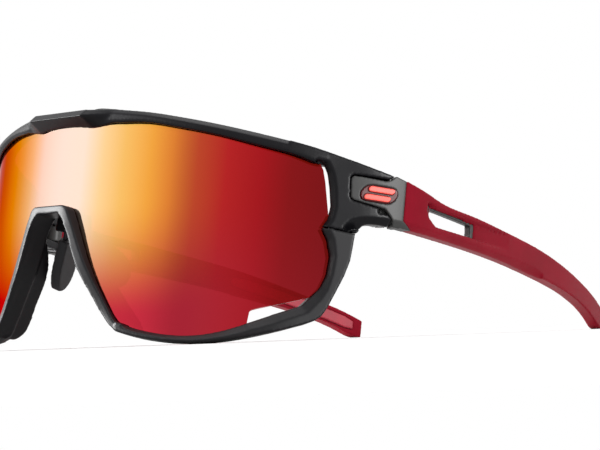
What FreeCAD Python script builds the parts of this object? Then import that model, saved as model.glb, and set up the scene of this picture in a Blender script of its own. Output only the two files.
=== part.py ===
import FreeCAD, Part
import math
import os
from FreeCAD import Vector

# Wraparound shield sunglasses, millimetres.
#
# Everything is drawn in the front frame: the lens stands vertical, X runs across the face
# (plus is the wearer's left), Y runs from the front to the ears and Z is up.  The finished
# pieces are then pitched so that both lower rims and both temple tips rest on Z = 0.
#
# The whole front and both temples follow one wall in plan.  A place on that wall is given
# by its station s, which counts along the wall from the centre line, and its depth d, measured
# inwards from the outer face.

# ---------------------------------------------------------------- driving dimensions

FRONT_PLAN = [(0, -0.8), (10, 0.3), (20.2, 2.85), (30.8, 6.4), (41.5, 11.6), (51.8, 20.0), (59.0, 30.2)]
SIDE_PLAN = [(63.9, 39.2), (67.75, 46.15), (70.35, 53.45), (71.2, 60.0), (70.6, 68.0),
             (68.9, 80.0), (66.6, 94.0), (64.0, 108.0), (61.0, 122.0), (56.8, 138.0),
             (52.0, 152.0), (48.6, 161.0)]     # the rest of the plan, corner to ear tip
FRONT_STEP = 1.0155       # millimetres of wall per station over the front
FRONT_LEAD = 1.4          # what that adds up to at the hinge; behind it a station is 1 mm

LENS_D = (1.2, 3.2)       # depth of the lens's front and back faces
GROOVE_GAP = 0.06         # play of the lens in its grooves
LENS_BITE = 1.0           # how far the lens enters a groove

BAR_D = (-0.4, 5.0)       # brow bar, front and back
RIM_D = (-0.9, 4.8)       # lower rim, front and back
BLOCK_D = (-0.35, 4.4)    # end block beside the temple
SHELL_D0 = -0.15          # outer face of the temple shell

HINGE_S = 90.5            # station and depth of the hinge axis
HINGE_DEPTH = 5.2
KNUCKLE_R = 2.4
KNUCKLE_RELIEF = 0.25     # room around a knuckle
SCREW_R = 0.8
SCREW_FIT = 0.02          # radial, in the ears
PIVOT_PLAY = 0.05         # radial, in the turning knuckle
EAR_LOW = (35.6, 37.9)    # heights of the two ears and of the knuckle between them
KNUCKLE_Z = (38.1, 42.3)
EAR_HIGH = (42.5, 45.4)

BLOCK_END = 91.75         # station where the end block stops
TEMPLE_START = 92.3       # station where the full height core begins
SHELL_START = 95.3        # station of the seam between core and shell
TIP_END = 204.0           # station of the ear tip

WIRE_R = 0.7              # bendable wire inside the ear tip
NOSE_WIRE_R = 0.6
NOSE_BARREL_R = 1.3
NOSE_PLAY = 0.05

PITCH_DEG = 10.5          # how far the front leans back when the glasses stand
SHIFT_Y = -83.1          # moves the pitched glasses onto their origin
SHIFT_Z = 2.25


# ---------------------------------------------------------------- plan curve and wall

def spline(points, start=None, end=None):
    """Smooth edge through the points, with its end directions fixed when given."""
    curve = Part.BSplineCurve()
    if start is None:
        curve.interpolate(points)
    else:
        curve.interpolate(Points=points, InitialTangent=start, FinalTangent=end)
    return curve.toShape()


PLAN_POINTS = [Vector(x, y, 0) for x, y in FRONT_PLAN + SIDE_PLAN]
PLAN = spline(PLAN_POINTS, Vector(1, 0, 0), Vector(-0.35, 0.94, 0))


def plan_parameter(s):
    """Parameter of the plan curve at station s."""
    return PLAN.getParameterByLength(min(abs(s) * FRONT_STEP, abs(s) + FRONT_LEAD))


def tangent(s):
    """Unit direction of the wall, walking outwards from the centre line."""
    t = PLAN.tangentAt(plan_parameter(s))
    return Vector(t.x, t.y if s >= 0 else -t.y, 0).normalize()


def normal(s):
    """Unit outward normal of the wall at station s."""
    t = tangent(s)
    return Vector(t.y, -t.x, 0)


def wall(s, d=0.0, z=0.0):
    """Point of the wall at station s, depth d and height z."""
    q = PLAN.valueAt(plan_parameter(s))
    n = normal(s)
    x = q.x if s >= 0 else -q.x
    return Vector(x - d * n.x, q.y - d * n.y, z)


def lookup(knots, s):
    """Value at s of the straight segments through (s, value) knots."""
    if s <= knots[0][0]:
        return knots[0][1]
    for (s0, v0), (s1, v1) in zip(knots, knots[1:]):
        if s <= s1:
            return v0 + (v1 - v0) * (s - s0) / (s1 - s0)
    return knots[-1][1]


# ---------------------------------------------------------------- solids from outlines

def outline(runs):
    """Closed wire from runs of points: two points make a line, more make a smooth curve."""
    edges = []
    for run in runs:
        if len(run) == 2:
            edges.append(Part.makeLine(run[0], run[1]))
        else:
            edges.append(spline(run))
    return Part.Wire(edges)


def polygon(points):
    return Part.makePolygon(points + [points[0]])


def band(s0, s1, d0, d1, z0, z1, step=6.0):
    """Part of the wall from station s0 to s1, between depths d0 and d1, from z0 to z1."""
    count = int(math.ceil((s1 - s0) / step))
    stations = [s0 + (s1 - s0) * i / count for i in range(count + 1)]
    outer = [wall(s, d0(s) if callable(d0) else d0, z0) for s in stations]
    inner = [wall(s, d1(s) if callable(d1) else d1, z0) for s in stations]
    inner.reverse()
    face = Part.Face(outline([outer, [outer[-1], inner[0]], inner, [inner[-1], outer[0]]]))
    return face.extrude(Vector(0, 0, z1 - z0))


def strip(stations, section):
    """Closed solid skinned through a section of (depth, height) points at each station."""
    wires = [polygon([wall(s, d, z) for d, z in section(s)]) for s in stations]
    return Part.makeLoft(wires, True, False)


def front_prism(runs, y0, y1):
    """Outline of (x, z) runs pushed through from y0 to y1."""
    wire = outline([[Vector(x, y0, z) for x, z in run] for run in runs])
    return Part.Face(wire).extrude(Vector(0, y1 - y0, 0))


def side_prism(runs, x0, x1):
    """Outline of (y, z) runs pushed through from x0 to x1."""
    wire = outline([[Vector(x0, y, z) for y, z in run] for run in runs])
    return Part.Face(wire).extrude(Vector(x1 - x0, 0, 0))


def wall_prism(s_ref, points, d0, d1):
    """Outline of (s, z) points, cut straight through along the wall's normal at s_ref.

    It runs from depth d0 to depth d1, measured at s_ref."""
    n = normal(s_ref)
    base = wall(s_ref, d0)
    flat = []
    for s, z in points:
        p = wall(s, 0, z)
        flat.append(p - n * (p - base).dot(n))
    return Part.Face(polygon(flat)).extrude(n * (d0 - d1))


def mirrored(shape):
    return shape.mirror(Vector(0, 0, 0), Vector(1, 0, 0))


def cylinder(radius, base, top):
    axis = top - base
    return Part.makeCylinder(radius, axis.Length, base, axis)


def flipped(points):
    """The other side's half of a symmetric outline, walked back to the start."""
    return [(-x, z) for x, z in reversed(points)]


# ---------------------------------------------------------------- lens

BAR_LOW = [(0, 55.7), (15.5, 55.7), (27.2, 55.5), (35.7, 54.3), (45.2, 52.9), (54.6, 51.2), (61.9, 50.1),
           (70.2, 48.8), (74, 48.2)]
BAR_TOP = [(0, 59.4), (15.5, 59.4), (28.5, 58.2), (42.3, 56.2), (55.2, 54.3), (66.7, 52.8), (74.5, 51.6)]

RIM_OUT = [(24, 2.5), (29.5, 1.2), (35.2, 0.5), (40.8, 0.3), (46.2, 0.6), (51.5, 1.35), (56.7, 2.5),
           (61.8, 4.0), (66.9, 5.8), (72.7, 8.1)]
RIM_IN = [(24, 5.0), (29.7, 3.2), (36.6, 2.3), (44, 2.3), (50.2, 3.4), (58.2, 6.6), (65.4, 9.9), (72.7, 13.2)]
RIM_LIP = [(73.6, 33.6, 1.3), (76.0, 29.4, 1.3), (77.0, 25.5, 1.1), (76.6, 20.9, 1.1), (75.4, 17.6, 1.5),
           (73.9, 15.7, 2.0), (71.0, 12.4, 2.3), (65.4, 9.9, 2.3), (58.2, 6.6, 2.0), (50.2, 3.4, 1.5),
           (44, 2.3, 1.5), (36.6, 2.3, 1.1), (29.7, 3.2, 0.9), (26.5, 4.1, 0.8)]

LEG_OUTER = [(7.3, 33.0), (9.7, 28.2), (12.5, 22.2), (16.3, 15.4), (21.0, 8.4), (24.2, 4.6)]
LEG_INNER = [(24.0, 2.6), (20.5, 5.8), (15.9, 12.1), (11.1, 19.3), (8.3, 26.0), (5.3, 31.3)]


def make_lens(grow):
    """The shield, bigger by grow all round, so that it also cuts its own grooves."""
    top = LENS_BITE + grow
    d0 = LENS_D[0] - grow
    d1 = LENS_D[1] + grow
    side = -LENS_BITE - 0.2 - grow
    shield = band(-82, 82, d0, d1, -5, 62)
    brow = [(0, 55.7 + top), (15.6, 55.7 + top), (26.9, 55.5 + top), (34.6, 54.3 + top),
            (42.8, 52.9 + top), (50.2, 51.2 + top), (55.2, 50.1 + top), (60.0, 48.8 + top),
            (70, 46.5 + top)]
    leg = [(x + side, z - 0.4) for x, z in LEG_OUTER]
    nose = [(0, 33.2 - grow), (3.9, 33.2 - grow), leg[0]]
    base = [leg[-1], (25.5, 3.3 - grow), (29.0, 2.2 - grow), (35.3, 1.3 - grow), (41.8, 1.3 - grow),
            (46.9, 2.4 - grow), (52.8, 5.6 - grow), (57.3, 8.9 - grow), (70, 16.0 - grow)]
    half = [brow[-1], base[-1]], base[::-1], leg[::-1], [leg[0], nose[1]], [nose[1], (-nose[1][0], nose[1][1])]
    other = [[(-x, z) for x, z in reversed(run)] for run in reversed(half[:4])]
    runs = [flipped(brow)[:-1] + brow] + list(half) + other
    shield = shield.common(front_prism(runs, -10, 60))
    g = grow
    edge = [(57.9, -8), (57.9 + g, 6.6), (58.4 + g, 9.8 - g), (60.2, 10.5 - g), (68.3, 13.1 - g),
            (73.9, 15.1 - g), (74.9 + g, 15.8 - g), (77.4 + g, 20.4), (78.0 + g, 25.4), (77.6 + g, 28.4),
            (76.3 + g, 31.6), (75.8 + g, 34.5), (75.7 + g, 36.6), (74.3 + g, 44.0), (73.5 + g, 47.0),
            (72.6 + g, 48.4), (70.0 + g, 50.9 + g), (70, 62), (90, 62), (90, -8)]
    cutter = wall_prism(70, edge, -14, 14)
    return shield.cut(cutter).cut(mirrored(cutter)).removeSplitter()


LENS = make_lens(0.0)
GROOVE = make_lens(GROOVE_GAP)


# ---------------------------------------------------------------- upper frame

def bar_section(s):
    """Closed section of the brow bar: a bevelled front, and a flat back."""
    top = lookup(BAR_TOP, abs(s))
    low = lookup(BAR_LOW, abs(s))
    d0, d1 = BAR_D
    return [(d0 + 1.3, top), (d1 - 0.7, top), (d1, top - 0.7), (d1, low + 0.6), (d1 - 0.6, low),
            (d0 + 0.5, low), (d0, low + 0.6), (d0, top - 1.3)]


BAR_STATIONS = [10, 15.5, 21, 27.7, 34, 41, 48, 54.5, 60.5, 66.5, 74]
BLOCK_EDGE = [(64.0, 50.0), (70.2, 49.0), (73.6, 48.4), (74.6, 46.2), (75.4, 42.8), (76.1, 38.2),
              (75.6, 35.2), (74.2, 32.75), (78.7, 32.35), (83.0, 32.05), (84.9, 34.6), (86.2, 35.0),
              (89.3, 35.2), (94.0, 34.9), (94.0, 47.3), (91.0, 48.0), (86.1, 49.0), (82.1, 49.9),
              (74.3, 51.5), (70.4, 52.2), (64.0, 53.1)]
BLOCK_LIP = [(71.0, 48.8, 0.6), (73.6, 48.4, 1.0), (74.6, 46.2, 1.2), (75.4, 42.8, 1.4), (76.1, 38.2, 1.2),
             (75.6, 35.2, 1.2), (74.2, 32.75, 1.2), (73.0, 30.6, 1.2)]
GAP_LINE = [(73.4, 48.3), (74.6, 46.2), (75.4, 42.8), (76.1, 38.2), (75.9, 36.2)]
TONGUE_EDGE = [(93.0, 49.0), (90.9, 47.0), (89.6, 46.75), (83.7, 46.8), (80.9, 46.8), (80.2, 45.9),
               (80.5, 40.8), (81.5, 40.2), (89.8, 39.0), (91.6, 37.1), (93.0, 35.5)]
CHIN = [(79.5, 32.8), (83.5, 35.9), (87.5, 36.4), (91.3, 36.6), (99, 36.6), (107, 36.4), (125, 36.4),
        (144, 36.2), (160, 35.0)]
CHIN_DEPTH = 1.5          # how far the underside bevel reaches in, over about the same height


def edge_bevel(edge, d0, depth):
    """Wedge that bevels the outer edge of a wall piece, along (s, z, width) points.

    The piece lies to the left of the walk and its outer face at depth d0."""
    wires = []
    for i, (s, z, width) in enumerate(edge):
        before = edge[max(i - 1, 0)]
        after = edge[min(i + 1, len(edge) - 1)]
        run = after[0] - before[0]
        rise = after[1] - before[1]
        inward = (tangent(s) * -rise + Vector(0, 0, run)).normalize()
        out = normal(s)
        at = wall(s, d0, z)
        slope = inward * width + out * depth
        wires.append(polygon([at - out * depth - slope * 0.5, at + inward * width + slope * 0.5,
                              at - out * depth - slope * 0.5 + out * (depth * 2 + 1.0)]))
    return Part.makeLoft(wires, True, True)


def gap_relief():
    """Wedge off the back of the end block, which keeps the gap beside the lens open to view."""
    wires = [polygon([wall(s - 0.5, 0.8, z), wall(s + 2.4, 5.0, z), wall(s - 0.5, 5.0, z)]) for s, z in GAP_LINE]
    return Part.makeLoft(wires, True, True)


def chin_bevel():
    """Wedge along the underside of end block and temple, at their outer face."""
    def section(s):
        ridge = lookup(CHIN, s)
        return [(SHELL_D0 - 0.8, ridge + 0.9), (CHIN_DEPTH + 1.0, ridge - 2.8), (SHELL_D0 - 0.8, ridge - 2.8)]
    return strip([s for s, z in CHIN], section)


HINGE = wall(HINGE_S, HINGE_DEPTH)
HINGE_N = normal(HINGE_S)
HINGE_T = tangent(HINGE_S)


def at_hinge(out, back, z):
    """Point a distance out of and behind the hinge axis."""
    return Vector(HINGE.x, HINGE.y, z) + HINGE_N * out + HINGE_T * back


def hinge_block(out0, out1, back0, back1, z0, z1):
    """Box aligned with the wall at the hinge."""
    corners = [at_hinge(out0, back0, z0), at_hinge(out1, back0, z0),
               at_hinge(out1, back1, z0), at_hinge(out0, back1, z0)]
    return Part.Face(polygon(corners)).extrude(Vector(0, 0, z1 - z0))


def hinge_column(radius, z0, z1):
    return cylinder(radius, at_hinge(0, 0, z0), at_hinge(0, 0, z1))


def cowl_section(x, ridge, front, low):
    """Upright section of the raised centre of the brow bar, at a distance x.

    It is drawn from the ridge, front and low corners, each given as (y, z)."""
    back = wall(x, 4.6).y
    points = [(back, ridge[1]), ridge, front, low, (back, low[1] + 1.4)]
    return polygon([Vector(x, y, z) for y, z in points])


def make_cowl():
    """Faceted peak over the nose, standing forward of the bar."""
    end = ((2.8, 59.3), (1.8, 57.6), (2.4, 55.5))
    corner = ((-1.5, 58.8), (-3.3, 56.9), (1.5, 54.4))
    places = [(-17.0, *end), (-10.2, *corner), (10.2, *corner), (17.0, *end)]
    return Part.makeLoft([cowl_section(*place) for place in places], True, True)


def make_upper_side():
    """The bar, end block and hinge ears of the wearer's left side."""
    bar = strip(BAR_STATIONS, bar_section)
    block = band(60, BLOCK_END, BLOCK_D[0], BLOCK_D[1], 28, 56).common(wall_prism(80, BLOCK_EDGE, -12, 14))
    side = bar.fuse(block).cut([edge_bevel(BLOCK_LIP, BLOCK_D[0], 1.5), gap_relief(), chin_bevel()])
    recess = band(78, 95, -4.0, 2.3, 30, 52, step=2.0).common(wall_prism(86, TONGUE_EDGE, -10, 12))
    side = side.cut(recess)
    relief = hinge_column(KNUCKLE_R + KNUCKLE_RELIEF, EAR_LOW[1], EAR_HIGH[0])
    side = side.cut(relief)
    side = side.cut(hinge_block(-1.0, 6.5, -2.6, 3.0, EAR_LOW[1], EAR_HIGH[0]))
    for low, high in (EAR_LOW, EAR_HIGH):
        ear = hinge_column(KNUCKLE_R, low, high).fuse(hinge_block(-2.2, 1.4, -6.5, 0.0, low, high))
        side = side.fuse(ear)
    side = side.cut(hinge_column(SCREW_R + SCREW_FIT, 30, 43.4))
    side = side.cut(hinge_column(1.6, 30, EAR_LOW[0] + 0.9))
    side = side.cut(hinge_column(INSERT_R + SCREW_FIT, EAR_HIGH[0] - 0.5, EAR_HIGH[1] - 0.6))
    return side


INSERT_R = 1.45
TAB = (79.0, 81.4, 31.3, 34.6)      # snap tab of the lower rim: stations and heights
TAB_D = (2.3, 3.9)


def tab(grow):
    s0, s1, z0, z1 = TAB
    edge = [(s0 - grow, z0), (s1 + grow, z0), (s1 + grow, z1 + grow), (s0 - grow, z1 + grow)]
    return wall_prism(80.3, edge, TAB_D[0] - grow, TAB_D[1] + grow)


def make_brow_bar():
    half = make_upper_side().cut(tab(0.05))
    whole = half.fuse(mirrored(half)).fuse(make_cowl())
    return whole.cut(GROOVE).removeSplitter()


# ---------------------------------------------------------------- lower rim

def rim_section(s):
    """Closed section of the lower rim: a front face over a bevelled underside."""
    low = lookup(RIM_OUT, s)
    top = lookup(RIM_IN, s)
    d0, d1 = RIM_D
    return [(d0, top), (d1 - 0.8, top), (d1, top - 0.8), (d1, low + 1.0), (d1 - 1.2, low),
            (d0 + 0.5, low), (d0, low + 0.4)]


POST_EDGE = [(64, 4.8), (66.9, 5.8), (72.7, 8.1), (74.5, 9.0), (76.1, 10.4), (77.3, 12.5), (79.1, 16.8),
             (80.8, 21.0), (81.9, 24.8), (82.3, 28.5), (82.5, 31.3), (82.7, 31.8), (78.7, 32.1),
             (74.2, 32.5), (76.0, 29.4), (77.0, 25.5), (76.6, 20.9), (75.4, 17.6), (73.9, 15.7),
             (71.0, 12.4), (65.4, 9.9), (64, 9.3)]
LEG_FRONT = [(0, -2.2), (6, -2.2), (9.7, -1.3), (12.5, -0.4), (16.3, 1.1), (21.0, 2.8), (23.9, 3.5),
             (30, 5.6)]
FLANGE = [(31.5, (4.9, -1.2), (5.4, 4.0)), (26.0, (8.1, -1.0), (8.7, 6.2)),
          (19.0, (11.2, 0.2), (12.2, 9.9)), (12.0, (15.8, 2.0), (17.0, 11.4)),
          (6.0, (20.2, 3.4), (21.9, 13.2)), (2.6, (23.4, 4.8), (24.8, 11.4))]
FLANGE_THICK = 1.8


def make_flange():
    """Wing that guides the nose, running back from one leg of the arch."""
    wires = []
    for z, front, rear in FLANGE:
        f = Vector(front[0], front[1], z)
        r = Vector(rear[0], rear[1], z)
        side = Vector(r.y - f.y, f.x - r.x, 0).normalize() * FLANGE_THICK
        wires.append(polygon([f, r, r + side * 0.8, f + side]))
    return Part.makeLoft(wires, True, False)


def make_arch():
    """Nose arch with both legs, standing forward of the lens."""
    front = [Vector(x, y, -2) for x, y in LEG_FRONT]
    front = [Vector(-p.x, p.y, p.z) for p in reversed(front[1:])] + front
    back = [wall(s, RIM_D[1], -2) for s in (-30, -20, -10, 0, 10, 20, 30)]
    back.reverse()
    envelope = Part.Face(outline([front, [front[-1], back[0]], back, [back[-1], front[0]]]))
    envelope = envelope.extrude(Vector(0, 0, 40))
    outer = LEG_OUTER + [(26.6, 3.6)]
    right = [[(4.5, 34.4), (6.1, 34.1), (7.3, 33.0)], outer, [outer[-1], (27.2, 1.6)],
             [(27.2, 1.6), LEG_INNER[0]], LEG_INNER, [LEG_INNER[-1], (4.1, 32.4)]]
    left = [[(-x, z) for x, z in reversed(run)] for run in reversed(right)]
    runs = [[(-4.5, 34.4), (4.5, 34.4)]] + right + [[(4.1, 32.4), (-4.1, 32.4)]] + left
    return front_prism(runs, -6, 14).common(envelope)


def make_lower_rim():
    strip_stations = [24.5, 28, 32, 36.8, 44, 51.7, 59, 66, 70.5]
    post = band(62, 86, RIM_D[0], RIM_D[1], 0, 36).common(wall_prism(77, POST_EDGE, -12, 14))
    lip = edge_bevel(RIM_LIP, RIM_D[0], 1.4)
    half = strip(strip_stations, rim_section).fuse(post).cut(lip).fuse([make_flange(), tab(0.0)])
    whole = make_arch().fuse([half, mirrored(half)])
    return whole.cut(GROOVE).removeSplitter()


# ---------------------------------------------------------------- nose piece

NOSE_PIVOT = (3.4, 30.6)            # x and z of the pad pivots, whose axes run along Y
CARRIER_Y = (5.2, 8.6)
PAD_TOP = Vector(4.4, 8.2, 28.2)
PAD_LOW = Vector(12.6, 15.0, 17.2)
PAD_THICK = 2.8


def make_carrier():
    """Clip behind the arch that holds both pad arms."""
    body = front_prism([[(-5.6, 29.6), (-4.9, 33.6)], [(-4.9, 33.6), (4.9, 33.6)],
                        [(4.9, 33.6), (5.6, 29.6)], [(5.6, 29.6), (1.2, 28.9)],
                        [(1.2, 28.9), (-1.2, 28.9)], [(-1.2, 28.9), (-5.6, 29.6)]],
                       CARRIER_Y[0], CARRIER_Y[1])
    for side in (1, -1):
        base = Vector(side * NOSE_PIVOT[0], CARRIER_Y[0] + 0.8, NOSE_PIVOT[1])
        bore = cylinder(NOSE_BARREL_R + NOSE_PLAY, base, base + Vector(0, 6, 0))
        gap = Part.makeBox(3.6, 2.2, 4.0, Vector(base.x - 1.8, base.y + 0.6, 27.0))
        body = body.cut(bore).cut(gap)
    return body


def make_nose_wire():
    """Arm with a turned barrel at its top and a wire that runs down into the pad."""
    base = Vector(NOSE_PIVOT[0], CARRIER_Y[0] + 0.9, NOSE_PIVOT[1])
    barrel = cylinder(NOSE_BARREL_R, base, base + Vector(0, 2.5, 0))
    root = Vector(NOSE_PIVOT[0], 7.3, NOSE_PIVOT[1])
    along = PAD_LOW - PAD_TOP
    mid = PAD_TOP + along * 0.18
    end = PAD_TOP + along * 0.62
    wire = cylinder(NOSE_WIRE_R, root, mid).fuse([cylinder(NOSE_WIRE_R, mid, end),
                                                  Part.makeSphere(NOSE_WIRE_R, mid)])
    return barrel.fuse(wire).removeSplitter()


def make_nose_pad(arm):
    """Soft pad, a rounded leaf hanging from the arm."""
    along = (PAD_LOW - PAD_TOP)
    length = along.Length
    u = along.normalize()
    v = Vector(0.28, 0.86, 0.43)
    v = (v - u * v.dot(u)).normalize()
    w = u.cross(v).normalize()
    base = PAD_TOP - w * (PAD_THICK / 2)

    def place(a, b):
        return base + u * a + v * b

    rear = [place(0.5, 1.6), place(5.0, 3.2), place(11.0, 4.4), place(length - 1.5, 3.2)]
    foot = [rear[-1], place(length + 0.6, 0.4), place(length - 0.2, -2.8)]
    front = [foot[-1], place(10.0, -3.6), place(5.0, -2.6), place(0.5, -1.4)]
    face = Part.Face(outline([rear, foot, front, [front[-1], rear[0]]]))
    return face.extrude(w * PAD_THICK).cut(arm)


# ---------------------------------------------------------------- temples

TEMPLE_TOP = [(51.0, 48.3), (54.0, 47.6), (57.0, 46.8), (60.7, 46.0), (64.8, 45.0), (69.2, 44.2), (80.6, 43.7),
              (94.9, 42.9), (105, 42.2), (116, 41.3), (127, 39.8), (140, 37.4), (150, 35.2), (159.3, 32.2)]
TEMPLE_LOW = [(160.3, 27.3), (157.0, 27.3), (154.5, 28.2), (149, 30.0), (138, 32.1), (126, 33.4),
              (114, 34.2), (100, 34.9), (84, 35.2), (70, 35.2), (58, 35.3), (51.0, 35.7)]
RED_WINDOW = [(103.3, 43.6), (104.4, 42.9), (107.5, 42.2), (125.6, 41.9), (125.8, 38.0), (107.2, 37.8),
              (104.2, 39.5), (103.3, 41.2)]
WINDOW_LIP = [(103.9, 43.2, 0.5), (107.5, 42.2, 0.9), (116, 42.05, 0.9), (125.6, 41.9, 0.8),
              (133, 41.75, 0.6), (141, 41.9, 0.3)]
PANEL_Z = (37.9, 41.8)
CORE_WINDOW = [(105.6, 41.9), (110.0, 41.8), (124.2, 41.3), (124.5, 38.3), (108.4, 38.1), (105.6, 39.6)]
CORE_TANG_EDGE = [(94.0, 45.4), (103.0, 44.4), (108.0, 43.2), (124.6, 42.8), (129.0, 41.0),
                  (129.0, 38.5), (126.5, 36.8), (106.0, 36.8), (94.0, 36.8)]
TANG_D = (1.3, 3.3)
CORE_EDGE = [(95.3, 47.2), (92.2, 48.0), (90.8, 46.75), (89.5, 46.25), (83.7, 46.45), (81.0, 46.45),
             (80.45, 45.7), (80.75, 41.05), (81.6, 40.45), (89.9, 39.25), (91.8, 37.3), (92.55, 36.1),
             (92.6, 35.3), (95.3, 35.2)]
CORE_LIP_EDGE = [(94.8, 37.0), (95.7, 36.9), (99.4, 35.1), (99.4, 34.0), (94.8, 34.0)]


def shell_back(s):
    """Depth of the temple's inner face."""
    return lookup([(90, 5.0), (100, 4.8), (125, 4.2), (165, 3.9), (205, 3.5)], s)


def temple_profile():
    """Side view of the whole temple, front of the core to the rounded ear tip."""
    tip = [TEMPLE_TOP[-1], (160.9, 31.2), (161.5, 29.5), (161.3, 28.2), TEMPLE_LOW[0]]
    runs = [TEMPLE_TOP, tip, TEMPLE_LOW, [TEMPLE_LOW[-1], TEMPLE_TOP[0]]]
    return side_prism(runs, 30, 90)


def tang(grow):
    plate = band(94.0, 130.0, TANG_D[0] - grow, TANG_D[1] + grow, 30, 50)
    return plate.common(wall_prism(110, CORE_TANG_EDGE, -6, 10))


def core_lip():
    """Low corner of the core, which runs back under the shell."""
    return band(94.8, 100, SHELL_D0, 4.8, 30, 40, step=2.0).common(wall_prism(97, CORE_LIP_EDGE, -8, 12))


def make_core():
    """Rigid front of the temple: badge tongue, knuckle and a tang with a window."""
    core = band(78, SHELL_START, -0.25, 5.0, 30, 50, step=2.0).common(wall_prism(88, CORE_EDGE, -8, 14))
    core = core.cut(band(74, TEMPLE_START, 1.85, 9.0, 28, 52, step=2.0))
    core = core.fuse([tang(0.0), core_lip().common(temple_profile())]).cut(chin_bevel())
    core = core.cut(hinge_column(KNUCKLE_R + KNUCKLE_RELIEF, 30, 50))
    knuckle = hinge_column(KNUCKLE_R, KNUCKLE_Z[0], KNUCKLE_Z[1])
    web = hinge_block(0.0, 3.6, -1.4, 2.4, KNUCKLE_Z[0], KNUCKLE_Z[1])
    core = core.fuse([knuckle, web])
    core = core.cut(hinge_column(SCREW_R + PIVOT_PLAY, 30, 50))
    core = core.cut(wall_prism(113, CORE_WINDOW, -6, 10))
    core = core.cut(badge_plate(0.05))
    return core.removeSplitter()


def make_shell(core_tang, wire, grip_pocket):
    """Red outer temple, moulded round the core's tang and the tip wire."""
    profile = temple_profile()
    shell = band(SHELL_START + 0.05, TIP_END, SHELL_D0, shell_back, 20, 50).common(profile)
    shell = shell.cut([core_tang, core_lip(), chin_bevel(), panel()])
    shell = shell.cut(wall_prism(113, RED_WINDOW, -6, 1.35))
    shell = shell.cut(wall_prism(113, RED_WINDOW, 3.25, 10))
    shell = shell.cut(wall_prism(113, CORE_WINDOW, -6, 10)).cut(edge_bevel(WINDOW_LIP, SHELL_D0, 1.0))
    return shell.cut(grip_pocket).cut(wire)


def panel():
    """Shallow field behind the window, running out towards the ear."""
    def section(s):
        depth = lookup([(125.3, 1.0), (141, SHELL_D0)], s)
        return [(-1.2, PANEL_Z[0]), (depth, PANEL_Z[0]), (depth, PANEL_Z[1]), (-1.2, PANEL_Z[1])]
    return strip([125.3, 129, 133, 137, 141], section)


def tip_height(s):
    """Height of the temple's middle line near the ear."""
    return lookup([(130, 39.2), (141, 38.7), (153, 38.0), (166, 36.9), (181, 34.9), (194, 32.2),
                   (204, 29.7)], s)


def make_tip_wire(radius, s0, s1):
    stations = [s0 + (s1 - s0) * i / 6.0 for i in range(7)]
    path = spline([wall(s, 1.75, tip_height(s)) for s in stations])
    start = path.valueAt(path.FirstParameter)
    ring = Part.Wire(Part.makeCircle(radius, start, path.tangentAt(path.FirstParameter)))
    return Part.Wire(path).makePipeShell([ring], True, True)


def make_grip(grow):
    """Soft inlay on the inner face of the ear tip, standing a little proud of it."""
    stations = [158, 164, 171, 178, 185, 192, 198, 201]
    wires = []
    for s in stations:
        mid = tip_height(s)
        half = 1.7 - (0.5 if s in (158, 201) else 0.0) + grow
        front = shell_back(s) - 0.9 - grow
        back = shell_back(s) + 0.25 + 4 * grow
        corners = [(front, mid - half), (front, mid + half), (back, mid + half), (back, mid - half)]
        wires.append(polygon([wall(s, d, z) for d, z in corners]))
    return Part.makeLoft(wires, True, True)


# ---------------------------------------------------------------- badge, screw, insert

def slanted_bar(s_mid, z_mid, length, width, lean, d0, d1):
    """Capsule outline lying along the tongue, leaned over at both ends."""
    points = []
    for end in (1, -1):
        for k in range(7):
            angle = math.pi * (k / 6.0 - 0.5)
            ds = end * (length / 2 + width / 2 * math.cos(angle))
            dz = end * width / 2 * math.sin(angle)
            points.append((s_mid + ds + lean * dz, z_mid + dz))
    return wall_prism(s_mid, points, d0, d1)


def badge_plate(grow):
    return slanted_bar(87.9, 42.7, 5.4 + grow, 4.2 + 2 * grow, 0.35, -1.5, 0.55 + grow)


def make_badge():
    """Generic inlay: a slanted plate with two raised bars."""
    plate = slanted_bar(87.9, 42.7, 5.4, 4.2, 0.35, -0.25, 0.55)
    upper = slanted_bar(88.4, 43.75, 5.6, 1.35, 0.35, -0.6, 0.2)
    lower = slanted_bar(87.4, 41.65, 5.6, 1.35, 0.35, -0.6, 0.2)
    return plate.fuse([upper, lower]).removeSplitter()


def make_screw():
    shaft = hinge_column(SCREW_R, EAR_LOW[0] + 0.2, EAR_HIGH[1] - 0.9)
    head = hinge_column(1.55, EAR_LOW[0] - 0.15, EAR_LOW[0] + 0.85)
    slot = hinge_block(-1.6, 1.6, -0.22, 0.22, EAR_LOW[0] - 0.2, EAR_LOW[0] + 0.3)
    return shaft.fuse(head).cut(slot)


def make_insert():
    ring = hinge_column(INSERT_R, EAR_HIGH[0] + 0.1, EAR_HIGH[1] - 0.65)
    return ring.cut(hinge_column(SCREW_R + SCREW_FIT, 30, 60))


# ---------------------------------------------------------------- build, place and write

def placed(shape):
    """Pitch the piece about X and shift it onto the standing origin."""
    out = shape.copy()
    out.rotate(Vector(0, 0, 0), Vector(1, 0, 0), -PITCH_DEG)
    out.translate(Vector(0, SHIFT_Y, SHIFT_Z))
    return out


def trimmed(shape):
    """Flatten the underside where the glasses rest."""
    below = Part.makeBox(400, 400, 20, Vector(-200, -200, -20))
    return shape.cut(below)


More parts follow.
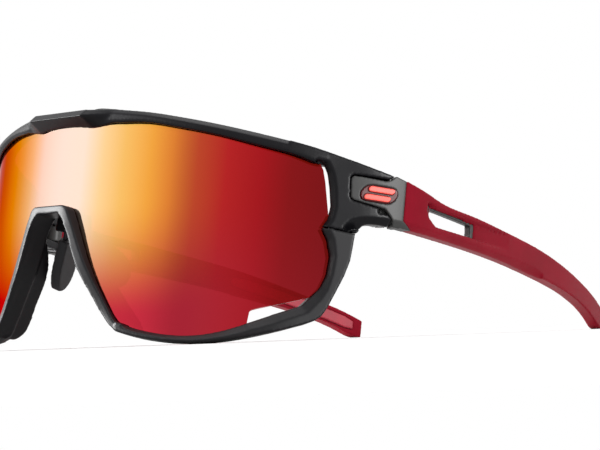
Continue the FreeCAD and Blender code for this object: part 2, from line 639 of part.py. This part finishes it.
def build():
    pieces = {}
    pieces["shield_lens"] = LENS
    pieces["brow_bar"] = make_brow_bar()
    pieces["lower_rim"] = make_lower_rim()
    pieces["nose_carrier"] = make_carrier()
    arm = make_nose_wire()
    wire = make_tip_wire(WIRE_R, 132, 199)
    left = {
        "nose_wire": arm,
        "nose_pad": make_nose_pad(arm),
        "temple_core": make_core(),
        "temple_shell": make_shell(tang(0.0), wire, make_grip(0.03)),
        "tip_wire": wire,
        "tip_grip": make_grip(0.0),
        "hinge_screw": make_screw(),
        "hinge_insert": make_insert(),
        "badge": make_badge(),
    }
    for name, shape in left.items():
        pieces[name + "_left"] = shape
        pieces[name + "_right"] = mirrored(shape)
    return {name: trimmed(placed(shape)) for name, shape in pieces.items()}


os.makedirs("parts", exist_ok=True)
for node, shape in build().items():
    shape.exportStep("parts/" + node + ".step")
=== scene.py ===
import bmesh
import bpy
import math
from mathutils import Matrix, Vector


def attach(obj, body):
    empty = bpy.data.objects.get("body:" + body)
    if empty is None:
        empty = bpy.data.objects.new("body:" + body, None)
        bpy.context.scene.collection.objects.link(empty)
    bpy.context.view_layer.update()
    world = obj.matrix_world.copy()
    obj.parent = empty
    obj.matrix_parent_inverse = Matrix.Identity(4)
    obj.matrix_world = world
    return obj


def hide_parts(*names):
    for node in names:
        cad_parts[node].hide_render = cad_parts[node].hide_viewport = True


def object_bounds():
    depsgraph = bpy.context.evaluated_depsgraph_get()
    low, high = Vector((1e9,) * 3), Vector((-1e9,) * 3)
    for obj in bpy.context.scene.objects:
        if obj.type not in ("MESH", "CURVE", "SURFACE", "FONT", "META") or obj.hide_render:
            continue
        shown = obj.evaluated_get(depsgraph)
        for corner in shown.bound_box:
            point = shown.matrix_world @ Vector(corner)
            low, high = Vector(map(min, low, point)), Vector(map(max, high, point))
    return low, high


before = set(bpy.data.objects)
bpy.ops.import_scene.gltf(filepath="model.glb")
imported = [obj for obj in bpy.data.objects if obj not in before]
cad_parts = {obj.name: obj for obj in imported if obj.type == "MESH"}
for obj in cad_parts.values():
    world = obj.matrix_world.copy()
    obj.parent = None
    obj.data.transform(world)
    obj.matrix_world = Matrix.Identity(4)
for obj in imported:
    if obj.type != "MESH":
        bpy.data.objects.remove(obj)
CAD_LOW, CAD_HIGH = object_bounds()
CENTRE = (CAD_LOW + CAD_HIGH) / 2
MM = 0.001

# ---------------------------------------------------------------- the wall all pieces follow
#
# Shapes are drawn in the front frame, in millimetres: the lens stands vertical, X runs
# across the face, Y from the front to the ears, Z is up.  A place on the wall has a
# station s, walked from the centre line, a depth d inwards and a height z.

PLAN_POINTS = [(0, -0.8), (10, 0.3), (20.2, 2.85), (30.8, 6.4), (41.5, 11.6), (51.8, 20.0), (59.0, 30.2),
               (63.9, 39.2), (67.75, 46.15), (70.35, 53.45), (71.2, 60.0), (70.6, 68.0), (68.9, 80.0)]
PLAN_START = (1.0, 0.0)            # direction of the plan curve on the centre line
PLAN_END = (-0.14, 0.99)           # and at its last point, behind the hinge
STATION_STEP = 1.0155              # millimetres of wall per station over the front
STATION_LEAD = 1.4                 # what that adds up to at the hinge
PITCH = math.radians(10.5)         # how far the standing glasses lean back
SHIFT = Vector((0.0, -83.1, 2.25))
STEP = 0.25                        # length of one piece of the measured plan curve
CUTS = 60                          # pieces each span is cut into before it is measured
ROUNDS = 60                        # sweeps that settle the slopes at the knots


def slopes(values, spans, first, last):
    """Slopes that make a cubic through the values smooth at every knot."""
    m = [first] + [0.0] * (len(values) - 2) + [last]
    for _ in range(ROUNDS):
        for i in range(1, len(values) - 1):
            before, after = spans[i - 1], spans[i]
            pull = 3.0 * (after * (values[i] - values[i - 1]) / before
                          + before * (values[i + 1] - values[i]) / after)
            m[i] = (pull - after * m[i - 1] - before * m[i + 1]) / (2.0 * (before + after))
    return m


def measured_plan():
    """Places on the smooth plan curve, at equal steps from the centre line."""
    xs = [float(x) for x, y in PLAN_POINTS]
    ys = [float(y) for x, y in PLAN_POINTS]
    spans = [math.dist(a, b) for a, b in zip(PLAN_POINTS, PLAN_POINTS[1:])]
    mx = slopes(xs, spans, PLAN_START[0], PLAN_END[0])
    my = slopes(ys, spans, PLAN_START[1], PLAN_END[1])
    fine = []
    for i, h in enumerate(spans):
        for k in range(CUTS):
            t = k / CUTS
            a, b = (1 + 2 * t) * (1 - t) ** 2, t * (1 - t) ** 2 * h
            c, d = t * t * (3 - 2 * t), t * t * (t - 1) * h
            fine.append((a * xs[i] + b * mx[i] + c * xs[i + 1] + d * mx[i + 1],
                         a * ys[i] + b * my[i] + c * ys[i + 1] + d * my[i + 1]))
    points, walked = [fine[0]], 0.0
    for a, b in zip(fine, fine[1:]):
        size = math.dist(a, b)
        while walked + size >= STEP * len(points):
            f = (STEP * len(points) - walked) / size
            points.append((a[0] + (b[0] - a[0]) * f, a[1] + (b[1] - a[1]) * f))
        walked += size
    return points


PLAN = measured_plan()


def placed(p):
    """A point of the front frame, in the standing frame and in metres."""
    c, s = math.cos(PITCH), math.sin(PITCH)
    return Vector((p.x, p.y * c + p.z * s, -p.y * s + p.z * c)) * MM + SHIFT * MM


def wall(s, d, z):
    """Point of the wall at station s, depth d and height z."""
    at = min(abs(s) * STATION_STEP, abs(s) + STATION_LEAD) / STEP
    i = int(at)
    f = at - i
    (x0, y0), (x1, y1) = PLAN[i], PLAN[i + 1]
    (xa, ya), (xb, yb) = PLAN[max(i - 1, 0)], PLAN[i + 2]
    tx, ty = (x1 - xa) * (1 - f) + (xb - x0) * f, (y1 - ya) * (1 - f) + (yb - y0) * f
    if i == 0:
        tx, ty = x1, y1 * f
    size = math.hypot(tx, ty)
    x, y = x0 + (x1 - x0) * f - d * ty / size, y0 + (y1 - y0) * f + d * tx / size
    return placed(Vector((math.copysign(x, s) if s else 0.0, y, z)))


def lookup(knots, s):
    """Height of a polyline of (station, height) knots at station s."""
    if s <= knots[0][0]:
        return knots[0][1]
    for (s0, v0), (s1, v1) in zip(knots, knots[1:]):
        if s <= s1:
            return v0 + (v1 - v0) * (s - s0) / (s1 - s0)
    return knots[-1][1]


# ---------------------------------------------------------------- materials

NOISE_ROUGHNESS = 0.55
MOTTLE = (0.3, 0.7)                # noise levels between which one shade fades into the other


class Nodes:
    """Small helper that builds one procedural material."""

    def __init__(self, name):
        self.mat = bpy.data.materials.new(name)
        self.mat.use_nodes = True
        self.tree = self.mat.node_tree
        self.shader = self.tree.nodes["Principled BSDF"]
        self.out = self.tree.nodes["Material Output"]
        self.coords = self.add("ShaderNodeTexCoord").outputs["Object"]

    def add(self, kind, **values):
        node = self.tree.nodes.new(kind)
        for key, value in values.items():
            setattr(node, key, value)
        return node

    def link(self, a, b):
        self.tree.links.new(a, b)

    def set(self, **values):
        """Constant values on the shader's own sockets."""
        for key, value in values.items():
            self.shader.inputs[key.replace("_", " ")].default_value = value

    def noise(self, scale, detail=3.0):
        node = self.add("ShaderNodeTexNoise")
        node.inputs["Scale"].default_value = scale
        node.inputs["Detail"].default_value = detail
        node.inputs["Roughness"].default_value = NOISE_ROUGHNESS
        self.link(self.coords, node.inputs["Vector"])
        return node.outputs["Fac"]

    def ramp(self, source, stops):
        """Colour by a factor: each stop is a position and a colour."""
        node = self.add("ShaderNodeValToRGB")
        ramp = node.color_ramp
        while len(ramp.elements) < len(stops):
            ramp.elements.new(0.5)
        for element, (at, colour) in zip(ramp.elements, stops):
            element.position = at
            element.color = (*colour, 1.0)
        self.link(source, node.inputs["Fac"])
        return node.outputs["Color"]

    def mottle(self, source, dark, light):
        """Base colour that wanders between two shades."""
        colour = self.ramp(source, [(MOTTLE[0], dark), (MOTTLE[1], light)])
        self.link(colour, self.shader.inputs["Base Color"])

    def span(self, source, low, high, start=0.0, end=1.0, kind="LINEAR"):
        """Maps the source from start..end to low..high."""
        node = self.add("ShaderNodeMapRange", interpolation_type=kind)
        for key, value in (("From Min", start), ("From Max", end), ("To Min", low), ("To Max", high)):
            node.inputs[key].default_value = value
        self.link(source, node.inputs["Value"])
        return node.outputs["Result"]

    def axes(self, source):
        node = self.add("ShaderNodeSeparateXYZ")
        self.link(source, node.inputs["Vector"])
        return node.outputs

    def bump(self, source, height, strength):
        node = self.add("ShaderNodeBump")
        node.inputs["Distance"].default_value = height
        node.inputs["Strength"].default_value = strength
        self.link(source, node.inputs["Height"])
        self.link(node.outputs["Normal"], self.shader.inputs["Normal"])

    def see_through(self, colour, share):
        """Lets a share of the light straight through, tinted."""
        clear = self.add("ShaderNodeBsdfTransparent")
        clear.inputs["Color"].default_value = (*colour, 1.0)
        mix = self.add("ShaderNodeMixShader")
        mix.inputs["Fac"].default_value = share
        self.link(self.shader.outputs[0], mix.inputs[1])
        self.link(clear.outputs[0], mix.inputs[2])
        self.link(mix.outputs[0], self.out.inputs["Surface"])


def srgb(r, g, b):
    """Linear colour from display values."""
    out = []
    for v in (r, g, b):
        v = v / 255.0
        out.append(v / 12.92 if v < 0.04045 else ((v + 0.055) / 1.055) ** 2.4)
    return tuple(out)


def moulded_plastic(name, dark, light, rough, gloss):
    """Moulded nylon: faint mottling in colour and sheen over a fine spark-eroded grain."""
    n = Nodes(name)
    cloud = n.noise(90.0, 4.0)
    n.mottle(cloud, dark, light)
    n.link(n.span(cloud, rough - 0.03, rough + 0.04), n.shader.inputs["Roughness"])
    n.set(Specular_IOR_Level=gloss)
    n.bump(n.noise(6000.0, 2.0), 4e-6, 0.6)
    return n.mat


def soft_rubber(name, dark, light, rough):
    """Soft elastomer: matt, with a velvety edge and a slight orange peel."""
    n = Nodes(name)
    cloud = n.noise(160.0, 5.0)
    n.mottle(cloud, dark, light)
    n.link(n.span(cloud, rough - 0.04, rough + 0.04), n.shader.inputs["Roughness"])
    n.set(Sheen_Weight=0.1, Sheen_Roughness=0.5, Specular_IOR_Level=0.2)
    n.bump(n.noise(2500.0), 8e-6, 0.5)
    return n.mat


def turned_metal(name, colour, rough):
    """Metal with faint uneven toning."""
    n = Nodes(name)
    cloud = n.noise(900.0)
    n.mottle(cloud, tuple(c * 0.8 for c in colour), colour)
    n.link(n.span(cloud, rough - 0.06, rough + 0.08), n.shader.inputs["Roughness"])
    n.set(Metallic=1.0)
    return n.mat


COAT_REACH = 0.062                 # distance from the centre line where the tints below end, in metres
# The pale gold middle of these tints is a painted highlight; the deep red at the sides is the coat's own
# colour.
COAT_TINTS_AND_HIGHLIGHT = [(0.0, (0.64, 0.51, 0.43)), (0.13, (0.64, 0.51, 0.41)), (0.23, (0.63, 0.44, 0.20)),
              (0.33, (0.62, 0.37, 0.09)), (0.45, (0.66, 0.30, 0.035)), (0.54, (0.68, 0.22, 0.025)),
              (0.64, (0.56, 0.075, 0.020)), (0.74, (0.50, 0.018, 0.014)), (0.84, (0.38, 0.007, 0.007)),
              (0.91, (0.22, 0.006, 0.003)), (1.0, (0.15, 0.005, 0.002))]
# Painted shade: low down, the painted highlight gives way to this cooler red.
COAT_LOW_SHADE = (0.40, 0.018, 0.034)
LOW_SHADE_HEIGHTS = (0.007, 0.037)  # all painted shade below the first height, none above the second
LOW_SHADE_SIDES = (0.040, 0.058)    # the painted shade fades between these distances from the centre line
LOW_SHADE_OUTSIDE = 0.2             # and this much of it is left beyond them


def mirror_coat():
    """Interference mirror on tinted polycarbonate.

    A painted highlight runs the tint from pale gold at the middle through orange to the coat's own
    deep red at the sides, and painted shade turns it to a cooler red low down."""
    n = Nodes("lens_mirror_coat")
    place = n.axes(n.coords)
    bent = n.add("ShaderNodeMath", operation="ABSOLUTE")
    n.link(place["X"], bent.inputs[0])
    across = n.add("ShaderNodeMath", operation="MULTIPLY")
    n.link(bent.outputs[0], across.inputs[0])
    across.inputs[1].default_value = 1.0 / COAT_REACH
    # painted highlight: the tint runs pale in the middle and red at the sides
    tint = n.ramp(across.outputs[0], COAT_TINTS_AND_HIGHLIGHT)
    # painted shade low down, where the painted highlight fades to a cooler red
    drop = n.span(place["Z"], 1.0, 0.0, *LOW_SHADE_HEIGHTS, "SMOOTHSTEP")
    edge = n.span(bent.outputs[0], 1.0, LOW_SHADE_OUTSIDE, *LOW_SHADE_SIDES, "SMOOTHSTEP")
    share = n.add("ShaderNodeMath", operation="MULTIPLY")
    n.link(drop, share.inputs[0])
    n.link(edge, share.inputs[1])
    blend = n.add("ShaderNodeMix", data_type="RGBA")
    n.link(share.outputs[0], blend.inputs["Factor"])
    n.link(tint, blend.inputs["A"])
    blend.inputs["B"].default_value = (*COAT_LOW_SHADE, 1.0)
    n.link(blend.outputs["Result"], n.shader.inputs["Base Color"])
    n.set(Metallic=1.0, Roughness=0.06, Specular_Tint=(0.95, 0.3, 0.27, 1.0))
    n.see_through((0.5, 0.05, 0.09), 0.24)
    return n.mat


def lens_body():
    """Uncoated inner face and edge of the tinted polycarbonate."""
    n = Nodes("lens_tint_body")
    n.mottle(n.noise(40.0, 2.0), (0.02, 0.006, 0.005), (0.028, 0.008, 0.006))
    n.set(Roughness=0.06, Coat_Weight=0.5)
    n.see_through((0.8, 0.5, 0.5), 0.8)
    return n.mat


BADGE_AT = (87.9, 0.42, 42.7)      # middle of the badge on the wall: station, depth, height
BADGE_SPREAD = 2.0                 # stations to either side that give its direction
PAINT_FROM, PAINT_TO = 0.78, 0.90  # height over the wall where the bars' paint sets in, in millimetres


def badge_paint():
    """Dark plate with salmon paint on the two raised bars: colour follows the height."""
    n = Nodes("badge_two_tone")
    s, d, z = BADGE_AT
    along = (wall(s + BADGE_SPREAD, d, z) - wall(s - BADGE_SPREAD, d, z)).normalized()
    out = along.cross(Vector((0.0, math.sin(PITCH), math.cos(PITCH)))).normalized()
    level = out.dot(wall(s, d, z))
    mirrored = n.add("ShaderNodeVectorMath", operation="ABSOLUTE")
    n.link(n.coords, mirrored.inputs[0])
    sides, own = n.axes(mirrored.outputs["Vector"]), n.axes(n.coords)
    join = n.add("ShaderNodeCombineXYZ")
    n.link(sides["X"], join.inputs["X"])
    n.link(own["Y"], join.inputs["Y"])
    n.link(own["Z"], join.inputs["Z"])
    height = n.add("ShaderNodeVectorMath", operation="DOT_PRODUCT")
    n.link(join.outputs["Vector"], height.inputs[0])
    height.inputs[1].default_value = out
    raised = n.span(height.outputs["Value"], 0.0, 1.0, level + PAINT_FROM * MM, level + PAINT_TO * MM)
    n.link(n.ramp(raised, [(0.0, srgb(62, 12, 14)), (1.0, srgb(214, 78, 68))]), n.shader.inputs["Base Color"])
    n.link(n.span(n.noise(200.0), 0.28, 0.36), n.shader.inputs["Roughness"])
    n.set(Specular_IOR_Level=0.15)
    return n.mat


BLACK = moulded_plastic("frame_black_nylon", srgb(9, 9, 11), srgb(13, 12, 15), 0.33, 0.12)
GREY = moulded_plastic("core_grey_nylon", srgb(46, 46, 46), srgb(54, 54, 53), 0.38, 0.15)
RIM = moulded_plastic("rim_black_nylon", srgb(9, 9, 11), srgb(13, 12, 15), 0.42, 0.2)
CARRIER = moulded_plastic("carrier_nylon", srgb(10, 10, 12), srgb(14, 14, 16), 0.45, 0.1)
RED = moulded_plastic("temple_red_soft_touch", srgb(132, 14, 32), srgb(144, 18, 38), 0.4, 0.06)
PAD = soft_rubber("pad_elastomer", srgb(24, 24, 26), srgb(30, 30, 32), 0.6)
GRIP = soft_rubber("tip_grip_elastomer", srgb(110, 10, 28), srgb(134, 20, 38), 0.5)
STEEL = turned_metal("black_screw_steel", (0.16, 0.16, 0.17), 0.35)
WIRE = turned_metal("spring_wire", (0.03, 0.03, 0.033), 0.45)
BRASS = turned_metal("insert_brass", (0.72, 0.52, 0.24), 0.32)
BADGE = badge_paint()
MIRROR = mirror_coat()
TINT = lens_body()


# ---------------------------------------------------------------- pieces

def new_object(name, mesh, *materials):
    obj = bpy.data.objects.new(name, mesh)
    bpy.context.scene.collection.objects.link(obj)
    for material in materials:
        mesh.materials.append(material)
    return obj


def apply_modifiers(obj):
    """Bakes the modifiers into the mesh and shades it smooth."""
    bpy.context.view_layer.objects.active = obj
    for modifier in list(obj.modifiers):
        bpy.ops.object.modifier_apply(modifier=modifier.name)
    shade_smooth(obj)


def shade_smooth(obj):
    for polygon in obj.data.polygons:
        polygon.use_smooth = True


def moulded(node, material, voxel=0.3, passes=6):
    """The CAD solid as it leaves the mould: every edge softly rounded."""
    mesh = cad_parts[node].data.copy()
    mesh.materials.clear()
    obj = new_object(node + "_moulded", mesh, material)
    remesh = obj.modifiers.new("skin", "REMESH")
    remesh.mode = "VOXEL"
    remesh.voxel_size = voxel * MM
    soften = obj.modifiers.new("soften", "SMOOTH")
    soften.factor = 0.5
    soften.iterations = passes
    apply_modifiers(obj)
    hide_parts(node)
    return obj


LENS_D = (1.2, 3.2)                # depths of the lens's front and back faces
LENS_TOP = [(0, 56.5), (15.5, 56.5), (27.2, 56.3), (35.7, 55.1), (45.2, 53.7), (54.6, 52.0), (61.9, 50.9),
            (70, 49.8), (71.6, 49.2), (72.6, 48.4), (73.5, 47.0), (74.3, 44.0), (75.7, 36.6), (75.9, 34.0),
            (76.3, 31.6), (77.6, 28.4), (78.0, 25.8)]
LENS_LOW = [(0, 33.2), (3.9, 33.2), (6.1, 32.5), (8.5, 27.8), (11.3, 21.8), (15.1, 15.0), (19.8, 8.0),
            (23.0, 4.6), (26.0, 3.2), (29.7, 2.2), (36.6, 1.4), (44, 1.4), (50.2, 2.4), (57.9, 5.5),
            (58.35, 9.5), (58.8, 9.95), (60.2, 10.5), (68.3, 13.1), (73.9, 15.1), (74.9, 15.8),
            (77.4, 20.4), (78.0, 25.0)]
LENS_STATIONS = [i * 1.0 for i in range(1, 57)]                       # even over the front
LENS_STATIONS += [57.4, 57.9, 58.1, 58.35, 58.8, 59.4, 60.2]          # close at the vent's corner
LENS_STATIONS += [61 + 0.75 * i for i in range(14)]
LENS_STATIONS += [71.6, 72.2, 72.6, 73.0, 73.5, 73.9, 74.3, 74.9, 75.3,
                  75.7, 76.0, 76.3, 76.8, 77.4, 77.6, 78.0]           # close at the rounded end
LENS_ROWS = 26
LENS_EASE = 0.22                   # width of the eased edge
SHARP = math.radians(50)           # edges sharper than this are eased


def make_lens():
    """Curved shield: a clean grid on the wall, thickened inwards, with eased edges."""
    stations = [-s for s in reversed(LENS_STATIONS)] + [0.0] + LENS_STATIONS
    mesh = bpy.data.meshes.new("shield_lens_skin")
    bm = bmesh.new()
    grid = []
    for s in stations:
        z0, z1 = lookup(LENS_LOW, abs(s)), lookup(LENS_TOP, abs(s))
        heights = [z0 + (z1 - z0) * k / LENS_ROWS for k in range(LENS_ROWS + 1)]
        grid.append([bm.verts.new(wall(s, LENS_D[0], z)) for z in heights])
    for a, b in zip(grid, grid[1:]):
        for k in range(LENS_ROWS):
            bm.faces.new((a[k], b[k], b[k + 1], a[k + 1]))
    bmesh.ops.recalc_face_normals(bm, faces=bm.faces)
    if sum(face.normal.y for face in bm.faces) > 0:
        bmesh.ops.reverse_faces(bm, faces=bm.faces)
    bm.to_mesh(mesh)
    bm.free()
    obj = new_object("shield_lens_skin", mesh, MIRROR, TINT)
    thicken = obj.modifiers.new("thickness", "SOLIDIFY")
    thicken.thickness = (LENS_D[1] - LENS_D[0]) * MM
    thicken.offset = -1.0
    thicken.material_offset = 1
    thicken.material_offset_rim = 1
    ease = obj.modifiers.new("ease", "BEVEL")
    ease.width = LENS_EASE * MM
    ease.segments = 3
    ease.limit_method = "ANGLE"
    ease.angle_limit = SHARP
    apply_modifiers(obj)
    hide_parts("shield_lens")
    return obj


def dress(node, material):
    """A better material on a CAD node that keeps its own shape."""
    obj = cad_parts[node]
    obj.data.materials.clear()
    obj.data.materials.append(material)
    shade_smooth(obj)


lens = make_lens()
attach(lens, "front")
for node, material, slot in (("brow_bar", BLACK, "frame_black"), ("lower_rim", RIM, "frame_black"),
                             ("nose_carrier", CARRIER, "carrier_black")):
    piece = moulded(node, material)
    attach(piece, "front")
shells = []
for side in ("left", "right"):
    temple = "temple_" + side
    core = moulded("temple_core_" + side, GREY, 0.22, 4)
    shell = moulded("temple_shell_" + side, RED, 0.28, 6)
    shells.append(shell)
    grip = moulded("tip_grip_" + side, GRIP, 0.25, 4)
    badge = moulded("badge_" + side, BADGE, 0.12, 4)
    for piece, slot in ((core, "core_grey"), (shell, "temple_red"), (grip, "grip_red"),
                        (badge, "badge_pink")):
        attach(piece, temple)
    pad = moulded("nose_pad_" + side, PAD, 0.3, 14)
    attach(pad, "nose_arm_" + side)
    dress("hinge_screw_" + side, STEEL)
    dress("hinge_insert_" + side, BRASS)
    dress("nose_wire_" + side, WIRE)
    dress("tip_wire_" + side, WIRE)


# ---------------------------------------------------------------- studio

FLOOR_RADIUS = 30.0
GLOW_AZIMUTH, GLOW_ELEVATION = -48.0, 6.0      # where the glow stands, in degrees
GLOW_RIM = 0.5                                 # cosine to that direction where the glow begins
GLOW_STRENGTH = 2.05                           # at its middle; the studio around it has 1


def direction(azimuth, elevation):
    """Unit vector toward a place around the glasses; azimuth 0 is straight in front of them."""
    az, el = math.radians(azimuth), math.radians(elevation)
    return Vector((math.sin(az) * math.cos(el), -math.cos(az) * math.cos(el), math.sin(el)))


def area_light(name, place, size, power):
    """Rectangular lamp aimed at the middle of the glasses."""
    light = bpy.data.lights.new(name, "AREA")
    light.shape = "RECTANGLE"
    light.size, light.size_y = size
    light.energy = power
    obj = bpy.data.objects.new(name, light)
    bpy.context.scene.collection.objects.link(obj)
    obj.location = place
    obj.rotation_euler = (CENTRE - Vector(place)).to_track_quat("-Z", "Y").to_euler()
    return obj


def spare(light, *pieces):
    """Keeps a light off some pieces."""
    group = bpy.data.collections.new(light.name + "_spares")
    for piece in pieces:
        group.objects.link(piece)
    light.light_linking.receiver_collection = group
    for entry in group.collection_objects:
        entry.light_linking.link_state = "EXCLUDE"


def make_floor():
    """Wide sheet of matt white paper."""
    mesh = bpy.data.meshes.new("studio_floor")
    bm = bmesh.new()
    bmesh.ops.create_circle(bm, cap_ends=True, segments=64, radius=FLOOR_RADIUS)
    bm.to_mesh(mesh)
    bm.free()
    n = Nodes("studio_floor_paper")
    n.mottle(n.noise(3.0), (0.94, 0.94, 0.94), (0.96, 0.96, 0.96))
    n.set(Roughness=1.0, Specular_IOR_Level=0.0)
    obj = new_object("studio_floor", mesh, n.mat)
    return obj


def make_world():
    """White studio with one broad soft glow in front of the glasses, on their right."""
    world = bpy.data.worlds.new("studio")
    world.use_nodes = True
    tree = world.node_tree
    coords = tree.nodes.new("ShaderNodeTexCoord")
    toward = tree.nodes.new("ShaderNodeVectorMath")
    toward.operation = "DOT_PRODUCT"
    toward.inputs[1].default_value = direction(GLOW_AZIMUTH, GLOW_ELEVATION)
    tree.links.new(coords.outputs["Generated"], toward.inputs[0])
    glow = tree.nodes.new("ShaderNodeMapRange")
    glow.interpolation_type = "SMOOTHERSTEP"
    glow.inputs["From Min"].default_value = GLOW_RIM
    glow.inputs["From Max"].default_value = 1.0
    glow.inputs["To Min"].default_value = 1.0
    glow.inputs["To Max"].default_value = GLOW_STRENGTH
    tree.links.new(toward.outputs["Value"], glow.inputs["Value"])
    sky = tree.nodes["Background"]
    sky.inputs["Color"].default_value = (1.0, 1.0, 1.0, 1.0)
    tree.links.new(glow.outputs["Result"], sky.inputs["Strength"])
    bpy.context.scene.world = world


floor = make_floor()
make_world()

# A low lamp beside the end block gives it its sheen, one above lights the top edges, and one
# in front lights the flat front of the lower rim.  The floor keeps the even light of the studio,
# the shells stay matt, and the lens mirrors the studio alone but for the lamp above.
side_lamp = area_light("side_right", (0.97, 0.16, 0.22), (0.4, 0.24), 12.0)
top_lamp = area_light("top", (0.05, 0.05, 0.9), (0.8, 0.6), 5.0)
front_lamp = area_light("front_edge", (-0.72, -0.64, 0.27), (0.6, 0.5), 32.0)
spare(side_lamp, floor, lens, *shells)
spare(top_lamp, floor)
spare(front_lamp, floor, lens)

AIM = Vector((0.00561, 0.00463, 0.03135))
VIEW_AZIMUTH, VIEW_ELEVATION, VIEW_ROLL = 45.77, -2.25, -2.1
VIEW_DISTANCE = 0.7719

camera_data = bpy.data.cameras.new("camera")
camera_data.sensor_width = 36.0
camera_data.lens = 169.4
camera_data.clip_start, camera_data.clip_end = 0.05, 100.0
camera = bpy.data.objects.new("camera", camera_data)
bpy.context.scene.collection.objects.link(camera)
back = direction(VIEW_AZIMUTH, VIEW_ELEVATION)
camera.location = AIM + back * VIEW_DISTANCE
turn = (-back).to_track_quat("-Z", "Y").to_matrix().to_4x4()
camera.rotation_euler = (turn @ Matrix.Rotation(math.radians(VIEW_ROLL), 4, "Z")).to_euler()
bpy.context.scene.camera = camera
bpy.context.scene.view_settings.view_transform = "Standard"
